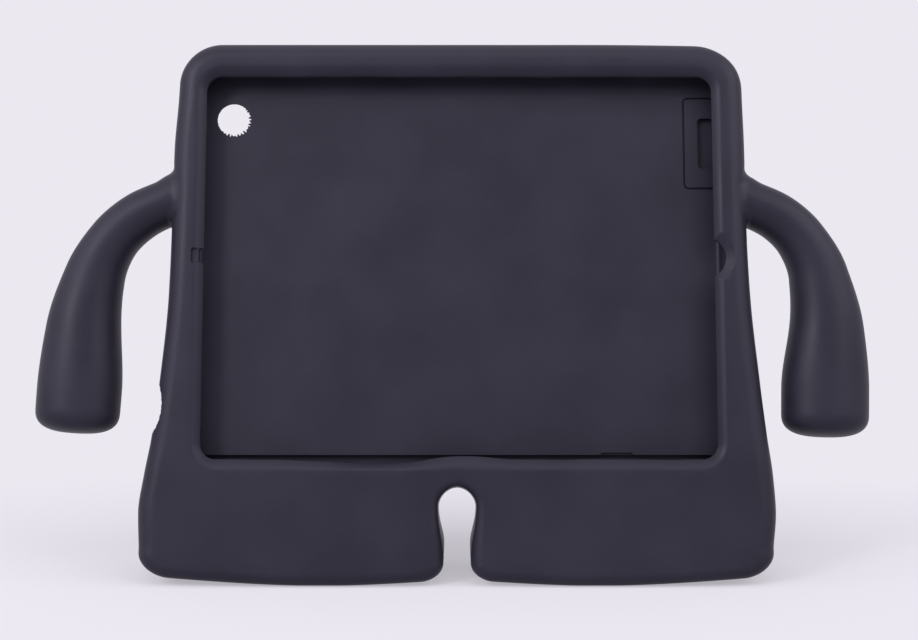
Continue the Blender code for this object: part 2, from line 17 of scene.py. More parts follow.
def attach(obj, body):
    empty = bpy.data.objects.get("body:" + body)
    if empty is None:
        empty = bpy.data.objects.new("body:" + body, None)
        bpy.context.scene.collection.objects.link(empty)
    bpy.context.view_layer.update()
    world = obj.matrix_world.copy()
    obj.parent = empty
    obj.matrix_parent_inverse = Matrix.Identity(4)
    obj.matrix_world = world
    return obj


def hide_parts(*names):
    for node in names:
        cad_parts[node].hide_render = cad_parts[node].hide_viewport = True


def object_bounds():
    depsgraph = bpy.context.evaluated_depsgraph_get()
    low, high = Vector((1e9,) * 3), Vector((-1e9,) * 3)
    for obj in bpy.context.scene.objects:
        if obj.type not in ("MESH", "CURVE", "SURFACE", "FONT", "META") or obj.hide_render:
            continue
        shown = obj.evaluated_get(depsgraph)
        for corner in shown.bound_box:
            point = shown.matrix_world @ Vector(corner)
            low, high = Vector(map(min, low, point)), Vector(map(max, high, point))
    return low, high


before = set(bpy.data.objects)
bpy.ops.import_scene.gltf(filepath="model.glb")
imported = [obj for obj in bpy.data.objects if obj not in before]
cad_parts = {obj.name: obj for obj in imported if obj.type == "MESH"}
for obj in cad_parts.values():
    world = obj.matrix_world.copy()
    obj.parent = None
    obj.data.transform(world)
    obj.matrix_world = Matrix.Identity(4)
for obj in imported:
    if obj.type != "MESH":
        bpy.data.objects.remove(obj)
CAD_LOW, CAD_HIGH = [np.array(c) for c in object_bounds()]


# Space for the tablet
# The case is made round a 9.7-inch tablet that lies on its side. The moulding
# grips it all round, so this space places everything else in the case.

TABLET_WIDE = 241.2
TABLET_TALL = 185.7
TABLET_DEEP = 9.4
TABLET_CORNER = 9.0
TABLET_CLEAR = 0.3
TABLET_BASE = 52.5
SPACE_X = TABLET_WIDE / 2.0 + TABLET_CLEAR
SPACE_V = TABLET_TALL / 2.0 + TABLET_CLEAR
MIDDLE_V = TABLET_BASE + SPACE_V
ROOF_V = MIDDLE_V + SPACE_V
LIP_THICK = 4.8
FLOOR_W = LIP_THICK + TABLET_DEEP + TABLET_CLEAR


# Outer wall of the moulding
# A soft bolster runs round the tablet and spreads out below it into two broad
# feet. It comes out of the mould with every edge rounded, and the slot between
# the feet is trimmed by hand.

WALL_TOP = 11.8
# Rows of height and of the wall's thickness outside the tablet space.
WALL_RIGHT = ((17.0, 20.4), (34.0, 21.9), (50.0, 21.0), (68.0, 18.7), (92.0, 16.1),
              (134.0, 12.5), (172.0, 11.4), (200.0, 11.3), (228.0, 10.7))
WALL_LEFT = ((17.0, 23.0), (34.0, 23.7), (50.0, 21.6), (68.0, 18.4), (92.0, 15.5),
             (134.0, 12.1), (172.0, 11.3), (200.0, 11.0), (224.0, 9.5))
SHOULDER_RIGHT = 10.5
SHOULDER_LEFT = 8.4
BODY_TOP = ROOF_V + WALL_TOP
TOP_CORNER_LEFT = 20.0
TOP_CORNER_RIGHT = 22.0
TOP_SAG = 0.9
TOP_SAG_WIDE = 64.0
FOOT_CORNER = 15.0
FOOT_CORNER_WIDE = 14.0
FOOT_MIDDLE = 62.0
FOOT_FLAT = 8.0
SOLE_BOW = 1.8
SOLE_BOW_WIDE = 40.0
SOLE_BOW_POWER = 1.5
SLOT_X = -0.9
SLOT_RADIUS = 8.7
SLOT_POINT = 1.85
SLOT_ROUND_V = 36.5
SLOT_NECK = 6.1
SLOT_NECK_V = 11.5
SLOT_CORNER = 9.0
SLOT_CORNER_WIDE = 10.0
# Rows of height and of depth behind the face.
DEPTH_TABLE = ((0.0, 56.0), (12.0, 55.5), (24.0, 52.0), (38.0, 44.5), (54.0, 37.5),
               (77.0, 32.5), (107.0, 29.8), (152.0, 28.0), (260.0, 27.0))
FRONT_ROUND = 8.6
FRONT_SQUARE = 2.0
BACK_ROUND = 8.5
SLOT_ROUND = 6.5
CROWN_ROUND = 3.5
SOLE_ROUND = 6.5
ROUND_FADE = 18.0
SLOT_PAST = 0.3
SLOT_POINTS = 30
CURVE_POINTS = 40
WALL_POINTS = 160
OUTLINE_STEP = 1.3
NORMAL_REACH = 3
FRONT_RINGS = 13
SIDE_RINGS = 10
BACK_RINGS = 11
FLASH_HIGH = 0.42
FLASH_LEAST = 0.16
FLASH_WAVES = ((1.0, 1.9, 0.0), (1.0, 3.7, 1.3), (1.0, 0.83, 0.4))
FLASH_AT = (0.15, 0.3)
FLASH_SIDE_X = (100.0, 120.0)
FLASH_SIDE_LOW = (30.0, 42.0)
FLASH_SIDE_HIGH = (84.0, 70.0)
FLASH_SLOT_X = (14.0, 10.0)
FLASH_SLOT_LOW = (8.0, 14.0)
FLASH_SLOT_TOP = 50.0


def smooth_table(table, where):
    """Cubic curve through a table, without overshoot between its rows."""
    rows = np.asarray(table, float)
    xs, ys = rows[:, 0], rows[:, 1]
    slope = np.diff(ys) / np.diff(xs)
    same = slope[:-1] * slope[1:] > 0.0
    safe = np.where(slope == 0.0, 1.0, slope)
    inner = np.where(same, 2.0 / np.where(same, 1.0 / safe[:-1] + 1.0 / safe[1:], 1.0), 0.0)
    tangent = np.concatenate((slope[:1], inner, slope[-1:]))
    at = np.clip(np.asarray(where, float), xs[0], xs[-1])
    k = np.clip(np.searchsorted(xs, at, side="right") - 1, 0, len(xs) - 2)
    step = xs[k + 1] - xs[k]
    t = (at - xs[k]) / step
    first = (2 * t ** 3 - 3 * t ** 2 + 1) * ys[k] + (t ** 3 - 2 * t ** 2 + t) * step * tangent[k]
    last = (3 * t ** 2 - 2 * t ** 3) * ys[k + 1] + (t ** 3 - t ** 2) * step * tangent[k + 1]
    return first + last


def smoothstep(low, high, value):
    """Rises from 0 to 1 between two values, level at both ends."""
    t = np.clip((np.asarray(value, float) - low) / (high - low), 0.0, 1.0)
    return t * t * (3.0 - 2.0 * t)


def waves(rows, at):
    """Sum of sines, each row a height, a rate of turning and a starting angle in radians."""
    return sum(high * np.sin(at * rate + start) for high, rate, start in rows)


def arc(cx, cv, wide, tall, start, end, count):
    """Part of an ellipse: centre plus half width times cosine, half height times sine."""
    a = np.radians(np.linspace(start, end, count))
    return np.column_stack((cx + wide * np.cos(a), cv + tall * np.sin(a)))


def slot_half():
    """Right half of the slot: a round foot corner, a neck that widens and a superellipse crown."""
    corner = arc(SLOT_NECK + SLOT_CORNER_WIDE, SLOT_CORNER, SLOT_CORNER_WIDE, SLOT_CORNER,
                 270.0, 180.0, SLOT_POINTS)
    t = np.linspace(0.0, 1.0, SLOT_POINTS)[:-1]
    ease = smoothstep(0.0, 1.0, t)
    neck = np.column_stack((SLOT_NECK + (SLOT_RADIUS - SLOT_NECK) * ease,
                            SLOT_NECK_V + (SLOT_ROUND_V - SLOT_NECK_V) * t))
    a = np.radians(np.linspace(0.0, 90.0, CURVE_POINTS))
    power = 2.0 / SLOT_POINT
    crown = np.column_stack((SLOT_RADIUS * np.clip(np.cos(a), 0.0, 1.0) ** power,
                             SLOT_ROUND_V + SLOT_RADIUS * np.sin(a) ** power))
    return np.vstack((corner, neck, crown))


def side_x(walls, shoulder, v):
    """Half width of the body at a height: the tablet space and its wall."""
    return SPACE_X + smooth_table(walls + ((BODY_TOP, shoulder),), v)


def half_outline(walls, shoulder, corner, slot_x):
    """Outline from the crown of the slot, round the foot, up the wall's curve and round the corner."""
    foot_x = float(side_x(walls, shoulder, FOOT_CORNER)) - FOOT_CORNER_WIDE
    foot = arc(foot_x, FOOT_CORNER, FOOT_CORNER_WIDE, FOOT_CORNER, 270.0, 360.0, CURVE_POINTS)
    v = np.linspace(FOOT_CORNER, BODY_TOP - corner, WALL_POINTS)[1:]
    side = np.column_stack((side_x(walls, shoulder, v), v))
    top = arc(side[-1, 0] - corner, BODY_TOP - corner, corner, corner, 0.0, 90.0, CURVE_POINTS)[1:]
    return np.vstack((slot_half()[::-1] + (slot_x, 0.0), foot, side, top))


def resample(points, step):
    """The same closed line with its points evenly spaced."""
    path = np.vstack((points, points[:1]))
    reach = np.concatenate(((0.0,), np.cumsum(np.linalg.norm(np.diff(path, axis=0), axis=1))))
    at = np.linspace(0.0, reach[-1], int(round(reach[-1] / step)), endpoint=False)
    return np.column_stack([np.interp(at, reach, path[:, c]) for c in range(2)])


def outline_points():
    """Closed outline of the body, counter-clockwise seen from the front.

    The top edge sags to the right by the square of the way along it, and the
    soles rise from their flats by a power of the way out.
    """
    right = half_outline(WALL_RIGHT, SHOULDER_RIGHT, TOP_CORNER_RIGHT, SLOT_X)
    left = half_outline(WALL_LEFT, SHOULDER_LEFT, TOP_CORNER_LEFT, -SLOT_X)[1:] * (-1.0, 1.0)
    points = resample(np.vstack((right, left[::-1])), OUTLINE_STEP)
    x, v = points.T.copy()
    along = np.clip((x - SPACE_X + TOP_SAG_WIDE) / TOP_SAG_WIDE, 0.0, 1.0)
    points[:, 1] -= TOP_SAG * along ** 2 * np.clip((v - ROOF_V) / WALL_TOP, 0.0, 1.0)
    past = np.maximum(np.abs(np.abs(x) - FOOT_MIDDLE) - FOOT_FLAT, 0.0) / SOLE_BOW_WIDE
    points[:, 1] += SOLE_BOW * past ** SOLE_BOW_POWER * np.maximum(1.0 - v / FOOT_CORNER, 0.0)
    return points


def outward(points):
    """Unit normals of a closed counter-clockwise line, square to a short chord at each point."""
    tangent = np.roll(points, -NORMAL_REACH, axis=0) - np.roll(points, NORMAL_REACH, axis=0)
    tangent /= np.linalg.norm(tangent, axis=1)[:, None]
    return np.column_stack((tangent[:, 1], -tangent[:, 0]))


def edge_round(points, base):
    """Edge rounding at each outline point: straight blends to less at the soles and the slot."""
    x, v = np.abs(points[:, 0] - SLOT_X), points[:, 1]
    sole = SOLE_ROUND + (base - SOLE_ROUND) * np.clip(v / ROUND_FADE, 0.0, 1.0)
    near = np.clip((x - SLOT_NECK - SLOT_CORNER_WIDE) / ROUND_FADE, 0.0, 1.0)
    crown = np.clip((v - SLOT_NECK_V) / (SLOT_ROUND_V - SLOT_NECK_V), 0.0, 1.0)
    side = SLOT_ROUND + (CROWN_ROUND - SLOT_ROUND) * crown
    return np.where(v < SLOT_ROUND_V + SLOT_RADIUS + SLOT_PAST, side + (sole - side) * near, sole)


def depth_at(v):
    """Depth of the body behind its face at a height."""
    return smooth_table(DEPTH_TABLE, np.maximum(v, 0.0))


def flash(outline):
    """Ragged mould flash: sums of sines, strongest at the slot and low on the right side."""
    reach = np.cumsum(np.full(len(outline), OUTLINE_STEP))
    tooth = waves(FLASH_WAVES, reach) / len(FLASH_WAVES)
    x, v = outline[:, 0], outline[:, 1]
    right = smoothstep(*FLASH_SIDE_X, x) * smoothstep(*FLASH_SIDE_LOW, v) * smoothstep(*FLASH_SIDE_HIGH, v)
    slot = smoothstep(*FLASH_SLOT_X, np.abs(x - SLOT_X)) * smoothstep(*FLASH_SLOT_LOW, v)
    strong = np.maximum(right, slot * (v < FLASH_SLOT_TOP))
    return FLASH_HIGH * tooth * (FLASH_LEAST + (1.0 - FLASH_LEAST) * strong)


def body_rings(outline):
    """Rings from the face to the back: a superellipse quarter, the flat side, a quarter circle."""
    normal = outward(outline)
    front = edge_round(outline, FRONT_ROUND)
    back = edge_round(outline, BACK_ROUND)
    rear = depth_at(outline[:, 1])
    ragged = outline + normal * flash(outline)[:, None]
    power = 2.0 / FRONT_SQUARE
    rings = []
    for a in np.radians(np.linspace(0.0, 90.0, FRONT_RINGS)):
        flat = outline - normal * (front * (1.0 - math.sin(a) ** power))[:, None]
        rings.append(np.column_stack((flat, front * (1.0 - max(math.cos(a), 0.0) ** power))))
    for share in np.linspace(0.0, 1.0, SIDE_RINGS)[1:-1]:
        w = front + (rear - back - front) * share
        line = ragged if FLASH_AT[0] < share < FLASH_AT[1] else outline
        rings.append(np.column_stack((line, w)))
    for a in np.radians(np.linspace(90.0, 0.0, BACK_RINGS)):
        flat = outline - normal * (back * (1.0 - math.sin(a)))[:, None]
        rings.append(np.column_stack((flat, depth_at(flat[:, 1]) - back * (1.0 - math.cos(a)))))
    return np.array(rings)


# Rim, lip and floor
# The rim slopes in to a thin lip that overhangs the tablet space on all four
# sides and holds the tablet in. Its lower edge waves where the foam was pulled
# off the mould, and the floor behind it is flat.

LIP_SIDE = 4.3
LIP_END = 4.85
LIP_DROP = 2.9
LIP_HUMP = 1.75
LIP_HUMP_WIDE = 16.0
LIP_DIP = 2.2
LIP_DIP_X = -38.0
LIP_DIP_WIDE = 26.0
# Rows of height, rate along x, rate up v and starting angle.
LIP_WAVER = ((0.1, 0.11, 0.0, 0.6), (0.07, 0.27, 0.19, 0.0))
LIP_ROUND = 0.9
LIP_EDGE = 0.2
LIP_TURN_DEG = 25.0
LIP_RINGS = 9
WINDOW_CORNER = 7.0
CREST_CORNER = 6.0
RIM_SLOPE = 4.5
RIM_SLOPE_UP = 5.5
RIM_FALL = 1.8
RIM_LEAST = 0.08
RIM_RINGS = 10
CORNER_POINTS = 13
EDGE_POINTS = (141, 107)
UNDERCUT = ((-0.6, LIP_THICK), (0.0, LIP_THICK + 0.6), (0.0, FLOOR_W - 2.0),
            (-0.25, FLOOR_W - 0.8), (-0.9, FLOOR_W - 0.2), (-2.0, FLOOR_W))
WINDOW_X = SPACE_X - LIP_SIDE
WINDOW_V = SPACE_V - LIP_END
FACE_GRID = 3.6
GRID_ROW = 0.87
GRID_CLEAR = 0.5
SAME_POINT = 1e-6


def ring_quads(rows, count, start=0):
    """Quads of a closed grid: point i of ring r joins point i + 1 and ring r + 1."""
    r, i = np.meshgrid(np.arange(rows - 1), np.arange(count), indexing="ij")
    j = (i + 1) % count
    quads = np.stack((r * count + i, r * count + j, (r + 1) * count + j, (r + 1) * count + i), axis=-1)
    return (quads.reshape(-1, 4) + start).tolist()


def solid(name, points, faces):
    """Closed mesh from x, v, w points, with its faces pointing out."""
    mesh = bpy.data.meshes.new(name)
    mesh.from_pydata(np.asarray(points)[:, [0, 2, 1]].tolist(), [], faces)
    bm = bmesh.new()
    bm.from_mesh(mesh)
    bmesh.ops.recalc_face_normals(bm, faces=bm.faces[:])
    bm.to_mesh(mesh)
    bm.free()
    item = bpy.data.objects.new(name, mesh)
    bpy.context.scene.collection.objects.link(item)
    return item


def rounded_box(half_x, half_v, radius):
    """Closed rounded rectangle round the window centre, counter-clockwise."""
    corners = [arc(sx * (half_x - radius), sv * (half_v - radius), radius, radius,
                   start, start + 90.0, CORNER_POINTS)
               for sx, sv, start in ((1, 1, 0.0), (-1, 1, 90.0), (-1, -1, 180.0), (1, -1, 270.0))]
    loop = []
    for k, corner in enumerate(corners):
        t = np.linspace(0.0, 1.0, EDGE_POINTS[k % 2])[1:-1, None]
        loop += [corner, corner[-1] + (corners[(k + 1) % 4][0] - corner[-1]) * t]
    return np.vstack(loop) + (0.0, MIDDLE_V)


def lip_wave(ring, share):
    """The lower lip rises over the slot and dips to its left, as bell curves; all of it wavers."""
    low = ring[:, 1] < TABLET_BASE + LIP_END + WINDOW_CORNER
    x = ring[:, 0]
    rise = LIP_HUMP * np.exp(-((x - SLOT_X) / LIP_HUMP_WIDE) ** 2)
    rise -= LIP_DIP * np.exp(-((x - LIP_DIP_X) / LIP_DIP_WIDE) ** 2)
    waver = sum(high * np.sin(x * along + ring[:, 1] * up + start)
                for high, along, up, start in LIP_WAVER)
    ring[:, 1] += np.where(low, rise * share, 0.0) + waver * share
    return ring


def window_rings():
    """Rings from the crest of the rim, round the lip, under it and down to the floor.

    The slope falls by a power of the way in, the lip's edge is half an ellipse,
    and each row of UNDERCUT is how far the space has grown at a depth.
    """
    rings = []
    for s in np.linspace(1.0, RIM_LEAST, RIM_RINGS):
        ring = rounded_box(WINDOW_X + RIM_SLOPE * s, WINDOW_V + RIM_SLOPE_UP * s,
                           WINDOW_CORNER + CREST_CORNER * s)
        drop = LIP_DROP * (1.0 - s) ** RIM_FALL
        rings.append(np.column_stack((lip_wave(ring, 1.0 - s), np.full(len(ring), drop))))
    top = LIP_DROP + LIP_EDGE
    for a in np.radians(np.linspace(LIP_TURN_DEG, 180.0, LIP_RINGS)):
        grow = LIP_ROUND * (1.0 - math.sin(a))
        w = top + (LIP_THICK - top) * (1.0 - math.cos(a)) / 2.0
        ring = rounded_box(WINDOW_X + grow, WINDOW_V + grow, WINDOW_CORNER)
        rings.append(np.column_stack((lip_wave(ring, 1.0), np.full(len(ring), w))))
    for grow, w in UNDERCUT:
        ring = rounded_box(SPACE_X + grow, SPACE_V + grow, TABLET_CORNER + grow)
        rings.append(np.column_stack((ring, np.full(len(ring), w))))
    return np.array(rings)


def inside(points, loop):
    """Which points lie inside a closed loop: an odd number of its edges pass to their right."""
    x, y = points[:, 0][:, None], points[:, 1][:, None]
    after = np.roll(loop, -1, axis=0)
    cross = (loop[:, 1] > y) != (after[:, 1] > y)
    rise = np.where(after[:, 1] == loop[:, 1], 1.0, after[:, 1] - loop[:, 1])
    at = loop[:, 0] + (y - loop[:, 1]) * (after[:, 0] - loop[:, 0]) / rise
    return np.sum(cross & (x < at), axis=1) % 2 == 1


def gap_to(others, points):
    """Distance from each point to the nearest of the others, by a search tree."""
    tree = kdtree.KDTree(len(others))
    for i, point in enumerate(others):
        tree.insert(point, i)
    tree.balance()
    return np.array([tree.find(point)[2] for point in points])


def spread(loops, step):
    """Staggered grid of points in the first loop, clear of it and of the other loops."""
    low, high = loops[0].min(axis=0), loops[0].max(axis=0)
    xs = np.arange(low[0] + step / 2.0, high[0], step)
    vs = np.arange(low[1] + step / 2.0, high[1], step * GRID_ROW)
    grid = np.stack(np.meshgrid(xs, vs), axis=-1)
    grid[1::2, :, 0] += step / 2.0
    grid = grid.reshape(-1, 2)
    keep = inside(grid, loops[0])
    for loop in loops[1:]:
        keep &= ~inside(grid, loop)
    edge = np.vstack(loops)
    near = gap_to(np.column_stack((edge, np.zeros(len(edge)))), np.column_stack((grid, np.zeros(len(grid)))))
    return grid[keep & (near > step * GRID_CLEAR)]


def fill(loops, extra):
    """Triangles that fill the first loop, leave the others open and pass through the extra points."""
    flat = np.vstack(loops + [extra])
    starts = np.cumsum([0] + [len(loop) for loop in loops])
    edges = [(int(a + i), int(a + (i + 1) % (b - a)))
             for a, b in zip(starts[:-1], starts[1:]) for i in range(b - a)]
    verts, _, faces, origin, _, _ = delaunay_2d_cdt(flat.tolist(), edges, [], 0, SAME_POINT)
    faces = np.array(faces)
    centres = np.array([tuple(v) for v in verts])[faces].mean(axis=1)
    keep = inside(centres, loops[0])
    for loop in loops[1:]:
        keep &= ~inside(centres, loop)
    index = np.array([o[0] for o in origin])
    return index[faces[keep]]


def build_body():
    """Outer wall, rim, lip and floor as one closed surface."""
    sides, hollow = body_rings(outline_points()), window_rings()
    counts = [sides.shape[0] * sides.shape[1], hollow.shape[0] * hollow.shape[1]]
    points = [sides.reshape(-1, 3), hollow.reshape(-1, 3)]
    faces = ring_quads(*sides.shape[:2]) + ring_quads(*hollow.shape[:2], start=counts[0])
    first = {"face": 0, "rear": counts[0] - sides.shape[1],
             "rim": counts[0], "floor": sum(counts) - hollow.shape[1]}
    total = sum(counts)
    for names, level in ((("face", "rim"), lambda v: v * 0.0),
                         (("floor",), lambda v: v * 0.0 + FLOOR_W),
                         (("rear",), depth_at)):
        sizes = [sides.shape[1] if name in ("face", "rear") else hollow.shape[1] for name in names]
        flat = np.vstack(points)
        loops = [flat[first[name]:first[name] + size, :2] for name, size in zip(names, sizes)]
        extra = spread(loops, FACE_GRID)
        index = np.concatenate([first[name] + np.arange(size) for name, size in zip(names, sizes)]
                               + [total + np.arange(len(extra))])
        faces += index[fill(loops, extra)].tolist()
        points.append(np.column_stack((extra, level(extra[:, 1]))))
        total += len(extra)
    return solid("case_foam", np.vstack(points), faces)


case = build_body()


# Openings and recesses
# Holes and notches are punched or moulded where the tablet needs them: its two
# cameras, home button, speaker, sockets and side buttons. The camera hole was
# punched by hand, so its lower right edge is torn.

PORT_W = LIP_THICK + TABLET_DEEP / 2.0 + TABLET_CLEAR
CAMERA_HOLE = 15.2
CAMERA_IN = 15.3
CAMERA_DOWN = 22.3
CAMERA_FLARE = 5.0
TEAR = 0.85
TEAR_DEEP = 0.5
TEAR_SIDE_DEG = 42.0
TEAR_FADE = (-0.25, 0.45)
TEAR_LEAST = 0.15
TEAR_TEETH = 31.0
TEAR_START = 0.4
TEAR_MEAN = 0.5
TEAR_WAVES = ((0.3, 13.0, 0.0), (0.2, 7.0, 2.0))
TEAR_OUT = 0.1
TEAR_STEP_DEG = 2.0
WORN_WIDE = 0.3
WORN_DEEP = 1.6
SPEAKER_IN = 8.6
SPEAKER_DOWN = 33.6
SPEAKER_WIDE = 13.4
SPEAKER_TALL = 42.0
PAD_CORNER = 1.6
GROOVE_WIDE = 1.0
GROOVE_DEEP = 1.2
SOUND_IN = 5.6
SOUND_TALL = 24.0
SOUND_WIDE = 7.4
SOUND_DEEP = 2.6
SLIT_IN = 48.9
SLIT_UP = 7.6
SLIT_LONG = 14.5
SLIT_TALL = 1.3
SLIT_CORNER = SLIT_TALL / 2.2
CHANNEL_TOP = 7.2
CHANNEL_DEEP = 3.6
HOME_UP = 3.5
HOME_RADIUS = 9.6
HOME_BITE = 5.2
HOME_BEVEL = 4.0
HOME_BEVEL_DEEP = 2.8
SENSOR_UP = 4.2
SENSOR_TALL = 7.0
SENSOR_BITE = 5.4
SENSOR_THROUGH = 2.0
SENSOR_DENT = 1.2
SENSOR_CORNER = 1.2
PHONES_UP = 29.5
PHONES_DEEP = 9.2
PHONES_TALL = 18.0
PHONES_CORNER = 4.0
PHONES_SCOOP_TALL = 30.0
PHONES_SCOOP_DEEP = 3.4
SCOOP_AROUND = 90
SCOOP_WAVES = ((0.012, 37.0, 0.0), (0.01, 23.0, 0.8))
SCOOP_SHORT = 0.98
CHARGE_TALL = 27.0
CHARGE_DEEP = 7.6
CHARGE_CORNER = 2.8
VOLUME_IN = 42.9
VOLUME_LONG = 35.0
VOLUME_DEEP = 5.0
BUTTON_WIDE = 4.8
BUTTON_CORNER = 2.0
POWER_DOWN = 17.6
POWER_LONG = 14.0
POWER_DEEP = 4.0
CUT_PAST = 3.0
CIRCLE_POINTS = 96
BOX_CORNER_POINTS = 9


def loft(name, loops, axis, levels):
    """Closed solid through loops in two coordinates, each loop flat at a level of the third."""
    order = {"w": (0, 1, 2), "x": (2, 1, 0), "v": (0, 2, 1)}[axis]
    rings = [np.column_stack((loop, np.full(len(loop), level)))[:, order]
             for loop, level in zip(loops, levels)]
    count = len(loops[0])
    last = count * (len(rings) - 1)
    ends = [list(range(count)), list(range(last, last + count))]
    return solid(name, np.vstack(rings), ring_quads(len(rings), count) + ends)


def circle(cx, cy, radius):
    """Closed circle of evenly spaced points."""
    return arc(cx, cy, radius, radius, 0.0, 360.0, CIRCLE_POINTS + 1)[:-1]


def soft_box(cx, cy, half_x, half_y, radius):
    """Closed rectangle with rounded corners."""
    return np.vstack([arc(cx + sx * (half_x - radius), cy + sy * (half_y - radius), radius, radius,
                          start, start + 90.0, BOX_CORNER_POINTS)
                      for sx, sy, start in ((1, 1, 0.0), (-1, 1, 90.0), (-1, -1, 180.0), (1, -1, 270.0))])


def torn_circle(cx, cy, radius, torn):
    """Punched circle whose radius has square teeth of wavering height, longest at the lower right."""
    a = np.radians(np.arange(0.0, 360.0, TEAR_STEP_DEG))
    where = smoothstep(*TEAR_FADE, np.cos(a + math.radians(TEAR_SIDE_DEG)))
    tooth = np.sign(np.sin(a * TEAR_TEETH + TEAR_START)) * (TEAR_MEAN + waves(TEAR_WAVES, a))
    r = radius + torn * (TEAR_LEAST + (1.0 - TEAR_LEAST) * where) * (tooth + TEAR_OUT)
    return np.column_stack((cx + r * np.cos(a), cy + r * np.sin(a)))


def scoop(v):
    """Ragged ellipse through the whole depth, for a thumb by the headphone opening."""
    a = np.radians(np.linspace(0.0, 360.0, SCOOP_AROUND, endpoint=False))
    side = float(side_x(WALL_LEFT, SHOULDER_LEFT, v))
    half = PHONES_SCOOP_TALL / 2.0
    ragged = 1.0 + waves(SCOOP_WAVES, a)
    wide = half / 2.0 + PHONES_SCOOP_DEEP / 2.0
    x = -side - half / 2.0 + PHONES_SCOOP_DEEP / 2.0 + wide * np.cos(a) * ragged
    loop = np.column_stack((x, v + half * SCOOP_SHORT * np.sin(a) * ragged))
    past = DEPTH_TABLE[0][1] * 2.0
    return loft("cut_scoop", [loop] * 3, "w", (-past, 0.0, past))


def floor_cutters():
    """Torn camera hole that flares to the back, speaker groove, small slit and bottom channel."""
    camera = (CAMERA_IN - SPACE_X, ROOF_V - CAMERA_DOWN)
    speaker = (SPACE_X - SPEAKER_IN, ROOF_V - SPEAKER_DOWN)
    half_x, half_v = SPEAKER_WIDE / 2.0, SPEAKER_TALL / 2.0
    back = float(depth_at(camera[1]))
    radius = CAMERA_HOLE / 2.0
    torn = torn_circle(*camera, radius, TEAR)
    worn = torn_circle(*camera, radius + WORN_WIDE, 0.0)
    flared = torn_circle(*camera, radius + CAMERA_FLARE * (1.0 + CUT_PAST / (back - FLOOR_W)), 0.0)
    above = FLOOR_W - CUT_PAST
    return [
        loft("cut_camera", (torn, torn, worn, flared),
             "w", (above, FLOOR_W + TEAR_DEEP, FLOOR_W + WORN_DEEP, back + CUT_PAST)),
        loft("cut_groove", [soft_box(*speaker, half_x + GROOVE_WIDE, half_v + GROOVE_WIDE,
                                     PAD_CORNER + GROOVE_WIDE)] * 2,
             "w", (above, FLOOR_W + GROOVE_DEEP)),
        loft("cut_slit", [soft_box(SPACE_X - SLIT_IN, TABLET_BASE + SLIT_UP, SLIT_LONG / 2.0,
                                   SLIT_TALL / 2.0, SLIT_CORNER)] * 2,
             "w", (above, FLOOR_W + GROOVE_DEEP)),
        loft("cut_channel", [soft_box(0.0, TABLET_BASE + (CHANNEL_TOP + TABLET_CLEAR) / 2.0, WINDOW_X,
                                      (CHANNEL_TOP - TABLET_CLEAR) / 2.0, BUTTON_CORNER)] * 2,
             "w", (above, FLOOR_W + CHANNEL_DEEP)),
    ]


def speaker_pad():
    """Pad inside the groove, level with the floor, and the sound channel cut from it."""
    speaker = (SPACE_X - SPEAKER_IN, ROOF_V - SPEAKER_DOWN)
    pad = soft_box(*speaker, SPEAKER_WIDE / 2.0, SPEAKER_TALL / 2.0, PAD_CORNER)
    channel = soft_box(SPACE_X - SOUND_IN, speaker[1], SOUND_WIDE / 2.0, SOUND_TALL / 2.0, BUTTON_CORNER)
    return (loft("pad_speaker", [pad] * 2, "w", (FLOOR_W, FLOOR_W + GROOVE_DEEP * 2.0)),
            loft("cut_sound", [channel] * 2, "w", (FLOOR_W - CUT_PAST, FLOOR_W + SOUND_DEEP)))


def lip_cutters():
    """Bevelled notch in the lip for the home button, and a dent and a notch for the front camera."""
    home = (WINDOW_X + HOME_BITE - HOME_RADIUS, MIDDLE_V + HOME_UP)
    wide, hole = circle(*home, HOME_RADIUS + HOME_BEVEL), circle(*home, HOME_RADIUS)
    sensor_half = SENSOR_BITE / 2.0 + CUT_PAST
    sensor_v = MIDDLE_V + SENSOR_UP
    dent = soft_box(-WINDOW_X - SENSOR_BITE + sensor_half, sensor_v, sensor_half,
                    SENSOR_TALL / 2.0, SENSOR_CORNER)
    sensor = soft_box(-WINDOW_X - SENSOR_THROUGH + sensor_half, sensor_v, sensor_half,
                      SENSOR_TALL / 2.0, SENSOR_CORNER)
    below = LIP_THICK + TABLET_CLEAR * 2.0
    return [
        loft("cut_home", (wide, wide, hole, hole), "w", (-CUT_PAST, 0.0, HOME_BEVEL_DEEP, below)),
        loft("cut_dent", [dent] * 2, "w", (-CUT_PAST, SENSOR_DENT)),
        loft("cut_sensor", [sensor] * 2, "w", (-CUT_PAST, below)),
    ]


def port_cutters():
    """Openings and recesses in the walls, level with the tablet's edge."""
    phones_v = TABLET_BASE + PHONES_UP
    outside = SPACE_X + WALL_LEFT[0][1]
    half = BUTTON_WIDE / 2.0
    phones = soft_box(PORT_W, phones_v, PHONES_DEEP / 2.0, PHONES_TALL / 2.0, PHONES_CORNER)
    charge = soft_box(PORT_W, MIDDLE_V, CHARGE_DEEP / 2.0, CHARGE_TALL / 2.0, CHARGE_CORNER)
    volume = soft_box(VOLUME_IN - SPACE_X, PORT_W, VOLUME_LONG / 2.0, half, BUTTON_CORNER)
    power = soft_box(PORT_W, ROOF_V - POWER_DOWN, half, POWER_LONG / 2.0, BUTTON_CORNER)
    return [
        loft("cut_phones", [phones] * 2, "x", (CUT_PAST - SPACE_X, -outside)),
        scoop(phones_v),
        loft("cut_charge", [charge] * 2, "x", (SPACE_X - CUT_PAST, outside)),
        loft("cut_volume", [volume] * 2, "v", (ROOF_V - CUT_PAST, ROOF_V + VOLUME_DEEP)),
        loft("cut_power", [power] * 2, "x", (CUT_PAST - SPACE_X, -SPACE_X - POWER_DEEP)),
    ]


